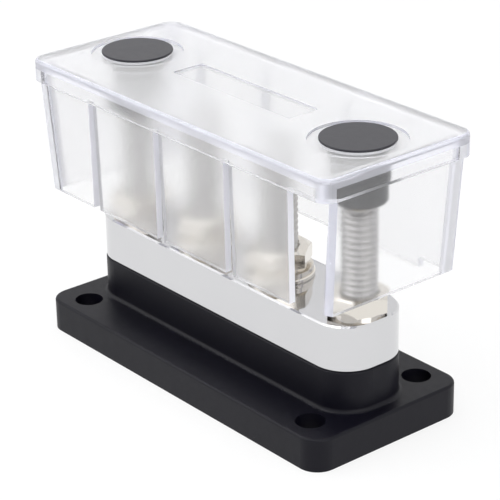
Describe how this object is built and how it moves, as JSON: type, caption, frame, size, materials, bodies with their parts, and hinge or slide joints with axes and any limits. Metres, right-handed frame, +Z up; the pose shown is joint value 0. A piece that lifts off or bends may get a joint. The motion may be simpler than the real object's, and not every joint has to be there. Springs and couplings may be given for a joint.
{
  "type": "bus bar",
  "caption": "Power distribution bus bar: plated bar with a row of threaded studs on a black base, under a clear lift-off cover with knock-out tabs.",
  "frame": {"origin": "centre of the base's underside", "axes": "+X along the bar and the row of studs, -Y the cover's front with the opening, +Z up along the studs"},
  "size_m": [0.1284, 0.0544, 0.0848],
  "materials": {
    "black_moulding": "fine satin",
    "plated_bar": "bright plate",
    "steel_thread": "bright thread",
    "nickel_plate": "warm nickel plate",
    "clear_moulding": "clear plastic, finely frosted",
    "knob_black": "fine satin",
    "sleeve_black": "satin",
    "washer_white": "smooth white",
    "insert_brass": "turned"
  },
  "bodies": {
    "base": {"base": "black_moulding", "bus_bar": "plated_bar", "stud_1": "steel_thread", "stud_2": "steel_thread", "stud_3": "steel_thread", "stud_4": "steel_thread", "nut_1": "nickel_plate", "nut_4": "nickel_plate"},
    "washers_2": {"flat_washer_2": "nickel_plate", "spring_washer_2": "nickel_plate"},
    "terminal_nut_2": {"nut_2": "nickel_plate"},
    "washers_3": {"flat_washer_3": "nickel_plate", "spring_washer_3": "nickel_plate"},
    "terminal_nut_3": {"nut_3": "nickel_plate"},
    "cover": {"cover": "clear_moulding"},
    "knob_1": {"knob_head_1": "knob_black", "knob_washer_1": "washer_white", "knob_sleeve_1": "sleeve_black", "knob_insert_1": "insert_brass"},
    "knob_4": {"knob_head_4": "knob_black", "knob_washer_4": "washer_white", "knob_sleeve_4": "sleeve_black", "knob_insert_4": "insert_brass"}
  },
  "joints": [
    {"name": "cover_lift", "type": "slide", "parent": "base", "child": "cover", "axis": [0, 0, 1], "range_m": [0, 0.045]},
    {"name": "knob_turn_1", "type": "hinge", "parent": "cover", "child": "knob_1", "pos_m": [-0.04725, 0, 0.0834], "axis": [0, 0, 1], "continuous": true},
    {"name": "knob_turn_4", "type": "hinge", "parent": "cover", "child": "knob_4", "pos_m": [0.04725, 0, 0.0834], "axis": [0, 0, 1], "continuous": true},
    {"name": "washers_rise_2", "type": "slide", "parent": "base", "child": "washers_2", "axis": [0, 0, 1], "range_m": [0, 0.02635]},
    {"name": "nut_turn_2", "type": "hinge", "parent": "washers_2", "child": "terminal_nut_2", "pos_m": [-0.01575, 0, 0.03815], "axis": [0, 0, 1], "range_deg": [0, 5400]},
    {"name": "washers_rise_3", "type": "slide", "parent": "base", "child": "washers_3", "axis": [0, 0, 1], "range_m": [0, 0.02635]},
    {"name": "nut_turn_3", "type": "hinge", "parent": "washers_3", "child": "terminal_nut_3", "pos_m": [0.01575, 0, 0.03815], "axis": [0, 0, 1], "range_deg": [0, 5400]}
  ],
  "couplings": [
    {"joint": "washers_rise_2", "follows": "nut_turn_2", "m_per_rad": 0.00027852},
    {"joint": "washers_rise_3", "follows": "nut_turn_3", "m_per_rad": 0.00027852}
  ]
}
